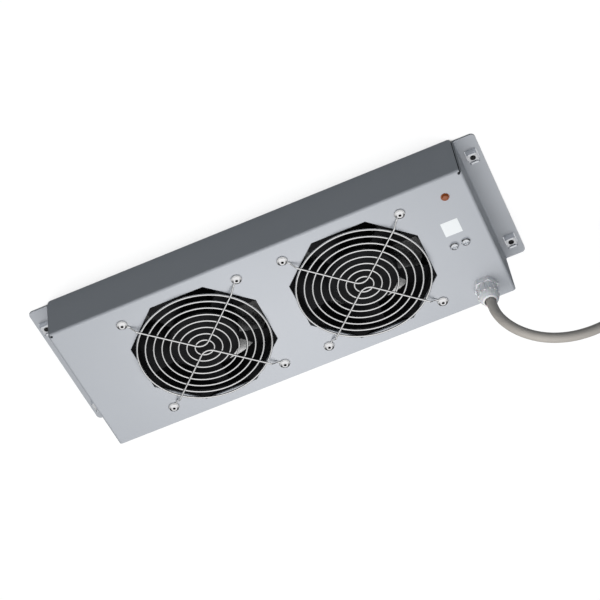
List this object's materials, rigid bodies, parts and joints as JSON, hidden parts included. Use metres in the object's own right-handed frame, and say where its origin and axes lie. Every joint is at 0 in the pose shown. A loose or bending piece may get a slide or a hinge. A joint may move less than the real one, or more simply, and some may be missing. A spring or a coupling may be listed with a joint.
{
  "type": "rack fan tray",
  "caption": "One-unit rack fan tray: folded steel plate with axial mains fans behind wire guards, cage nuts in its ears, a lamp, and a mains lead through a gland.",
  "frame": {"origin": "middle of the tray in plan, at the underside of the ears that rest on the rack's rails", "axes": "+X along the tray away from the gland end, +Y from the front flange to the open rear, +Z out of the plate through the guards"},
  "size_m": [0.6074, 0.1921, 0.1204],
  "materials": {
    "tray_coat": "light grey textured powder coat",
    "label_white": "matt white film",
    "guard_chrome": "bright nickel chrome plate on wire",
    "rivet_metal": "bright set rivet",
    "fan_casting": "black painted die casting",
    "tube_brass": "turned",
    "bearing_steel": "ground steel",
    "core_steel": "stacked laminations",
    "copper": "enamelled copper wire",
    "cup_steel": "pressed and blackened steel",
    "impeller_black": "black moulded, faintly grained",
    "lead_black": "PVC insulation",
    "gland_plastic": "light grey moulded polyamide",
    "seal_rubber": "moulded",
    "core_brown": "PVC insulation",
    "core_blue": "PVC insulation",
    "core_green": "green and yellow PVC insulation",
    "block_plastic": "natural polyamide",
    "terminal_brass": "nickel-plated brass",
    "zinc": "bright zinc plate",
    "lamp_amber": "clear amber moulding",
    "lamp_barrel": "amber moulding",
    "lead_red": "PVC insulation",
    "cage_steel": "bright zinc-plated spring steel",
    "nut_steel": "zinc plate",
    "cable_grey": "warm grey PVC",
    "tie_black": "paper and wire strip",
    "pin_brass": "nickel-plated brass"
  },
  "bodies": {
    "tray": {"block_nuts": "zinc", "block_screws": "zinc", "cable_coil": "cable_grey", "cable_tail": "cable_grey", "cable_tie": "tie_black", "cage_nut_cages": "cage_steel", "cage_nut_nuts": "nut_steel", "core_earth": "core_green", "core_live": "core_brown", "core_neutral": "core_blue", "earth_link": "core_green", "earth_lug": "zinc", "fan_1_bearing_tube": "tube_brass", "fan_1_bearings": "bearing_steel", "fan_1_frame": "fan_casting", "fan_1_leads": "lead_black", "fan_1_preload_washer": "bearing_steel", "fan_1_stator_core": "core_steel", "fan_1_windings": "copper", "fan_2_bearing_tube": "tube_brass", "fan_2_bearings": "bearing_steel", "fan_2_frame": "fan_casting", "fan_2_leads": "lead_black", "fan_2_preload_washer": "bearing_steel", "fan_2_stator_core": "core_steel", "fan_2_windings": "copper", "gland_body": "gland_plastic", "gland_cap_nut": "gland_plastic", "gland_lock_nut": "gland_plastic", "gland_seal": "seal_rubber", "guard_1": "guard_chrome", "guard_1_rivets": "rivet_metal", "guard_2": "guard_chrome", "guard_2_rivets": "rivet_metal", "label": "label_white", "lamp_body": "lamp_barrel", "lamp_leads": "lead_red", "lamp_lens": "lamp_amber", "lamp_retainer": "zinc", "mains_cable": "cable_grey", "plug_body": "cable_grey", "plug_earth_clips": "pin_brass", "plug_pins": "pin_brass", "terminal_block": "block_plastic", "terminal_inserts": "terminal_brass", "terminal_screws": "zinc", "tray_shell": "tray_coat"},
    "fan_1_rotor": {"fan_1_shaft": "bearing_steel", "fan_1_rotor_cup": "cup_steel", "fan_1_rotor_ring": "core_steel", "fan_1_impeller": "impeller_black", "fan_1_retaining_clip": "bearing_steel"},
    "fan_2_rotor": {"fan_2_shaft": "bearing_steel", "fan_2_rotor_cup": "cup_steel", "fan_2_rotor_ring": "core_steel", "fan_2_impeller": "impeller_black", "fan_2_retaining_clip": "bearing_steel"}
  },
  "joints": [
    {"name": "fan_1_spin", "type": "hinge", "parent": "tray", "child": "fan_1_rotor", "pos_m": [-0.0732, 0, 0.02], "axis": [0, 0, 1], "continuous": true},
    {"name": "fan_2_spin", "type": "hinge", "parent": "tray", "child": "fan_2_rotor", "pos_m": [0.0732, 0, 0.02], "axis": [0, 0, 1], "continuous": true}
  ]
}
